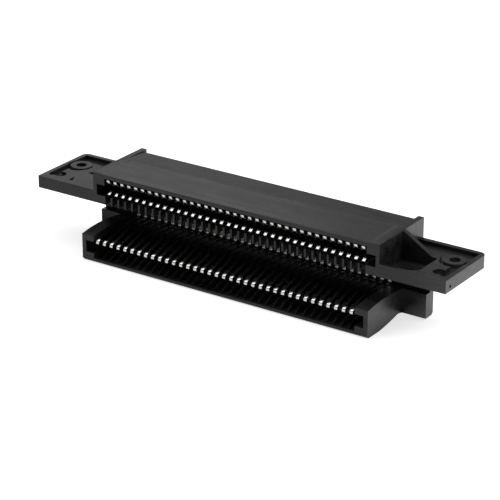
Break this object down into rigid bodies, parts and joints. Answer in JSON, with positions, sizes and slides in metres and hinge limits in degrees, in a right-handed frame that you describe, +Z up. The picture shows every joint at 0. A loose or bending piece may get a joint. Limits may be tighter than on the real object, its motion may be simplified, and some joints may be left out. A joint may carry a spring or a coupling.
{
  "type": "card edge connector",
  "caption": "Black moulded double card-edge connector with two slots facing the same way, sprung contacts and two drilled mounting ears.",
  "frame": {"origin": "under the middle of the housing, on the plane of its base", "axes": "+X along the slots, +Z up, and both slots open towards -Y"},
  "size_m": [0.1396, 0.0296, 0.026],
  "materials": {
    "housing_black": "glass-filled thermoplastic, moulded, fine satin texture",
    "contact_metal": "tin-plated phosphor bronze strip, bright at the tips"
  },
  "bodies": {
    "root": {"housing": "housing_black", "contact_pair_01": "contact_metal", "contact_pair_02": "contact_metal", "contact_pair_03": "contact_metal", "contact_pair_04": "contact_metal", "contact_pair_05": "contact_metal", "contact_pair_06": "contact_metal", "contact_pair_07": "contact_metal", "contact_pair_08": "contact_metal", "contact_pair_09": "contact_metal", "contact_pair_10": "contact_metal", "contact_pair_11": "contact_metal", "contact_pair_12": "contact_metal", "contact_pair_13": "contact_metal", "contact_pair_14": "contact_metal", "contact_pair_15": "contact_metal", "contact_pair_16": "contact_metal", "contact_pair_17": "contact_metal", "contact_pair_18": "contact_metal", "contact_pair_19": "contact_metal", "contact_pair_20": "contact_metal", "contact_pair_21": "contact_metal", "contact_pair_22": "contact_metal", "contact_pair_23": "contact_metal", "contact_pair_24": "contact_metal", "contact_pair_25": "contact_metal", "contact_pair_26": "contact_metal", "contact_pair_27": "contact_metal", "contact_pair_28": "contact_metal", "contact_pair_29": "contact_metal", "contact_pair_30": "contact_metal", "contact_pair_31": "contact_metal", "contact_pair_32": "contact_metal", "contact_pair_33": "contact_metal", "contact_pair_34": "contact_metal", "contact_pair_35": "contact_metal", "contact_pair_36": "contact_metal"}
  },
  "joints": []
}
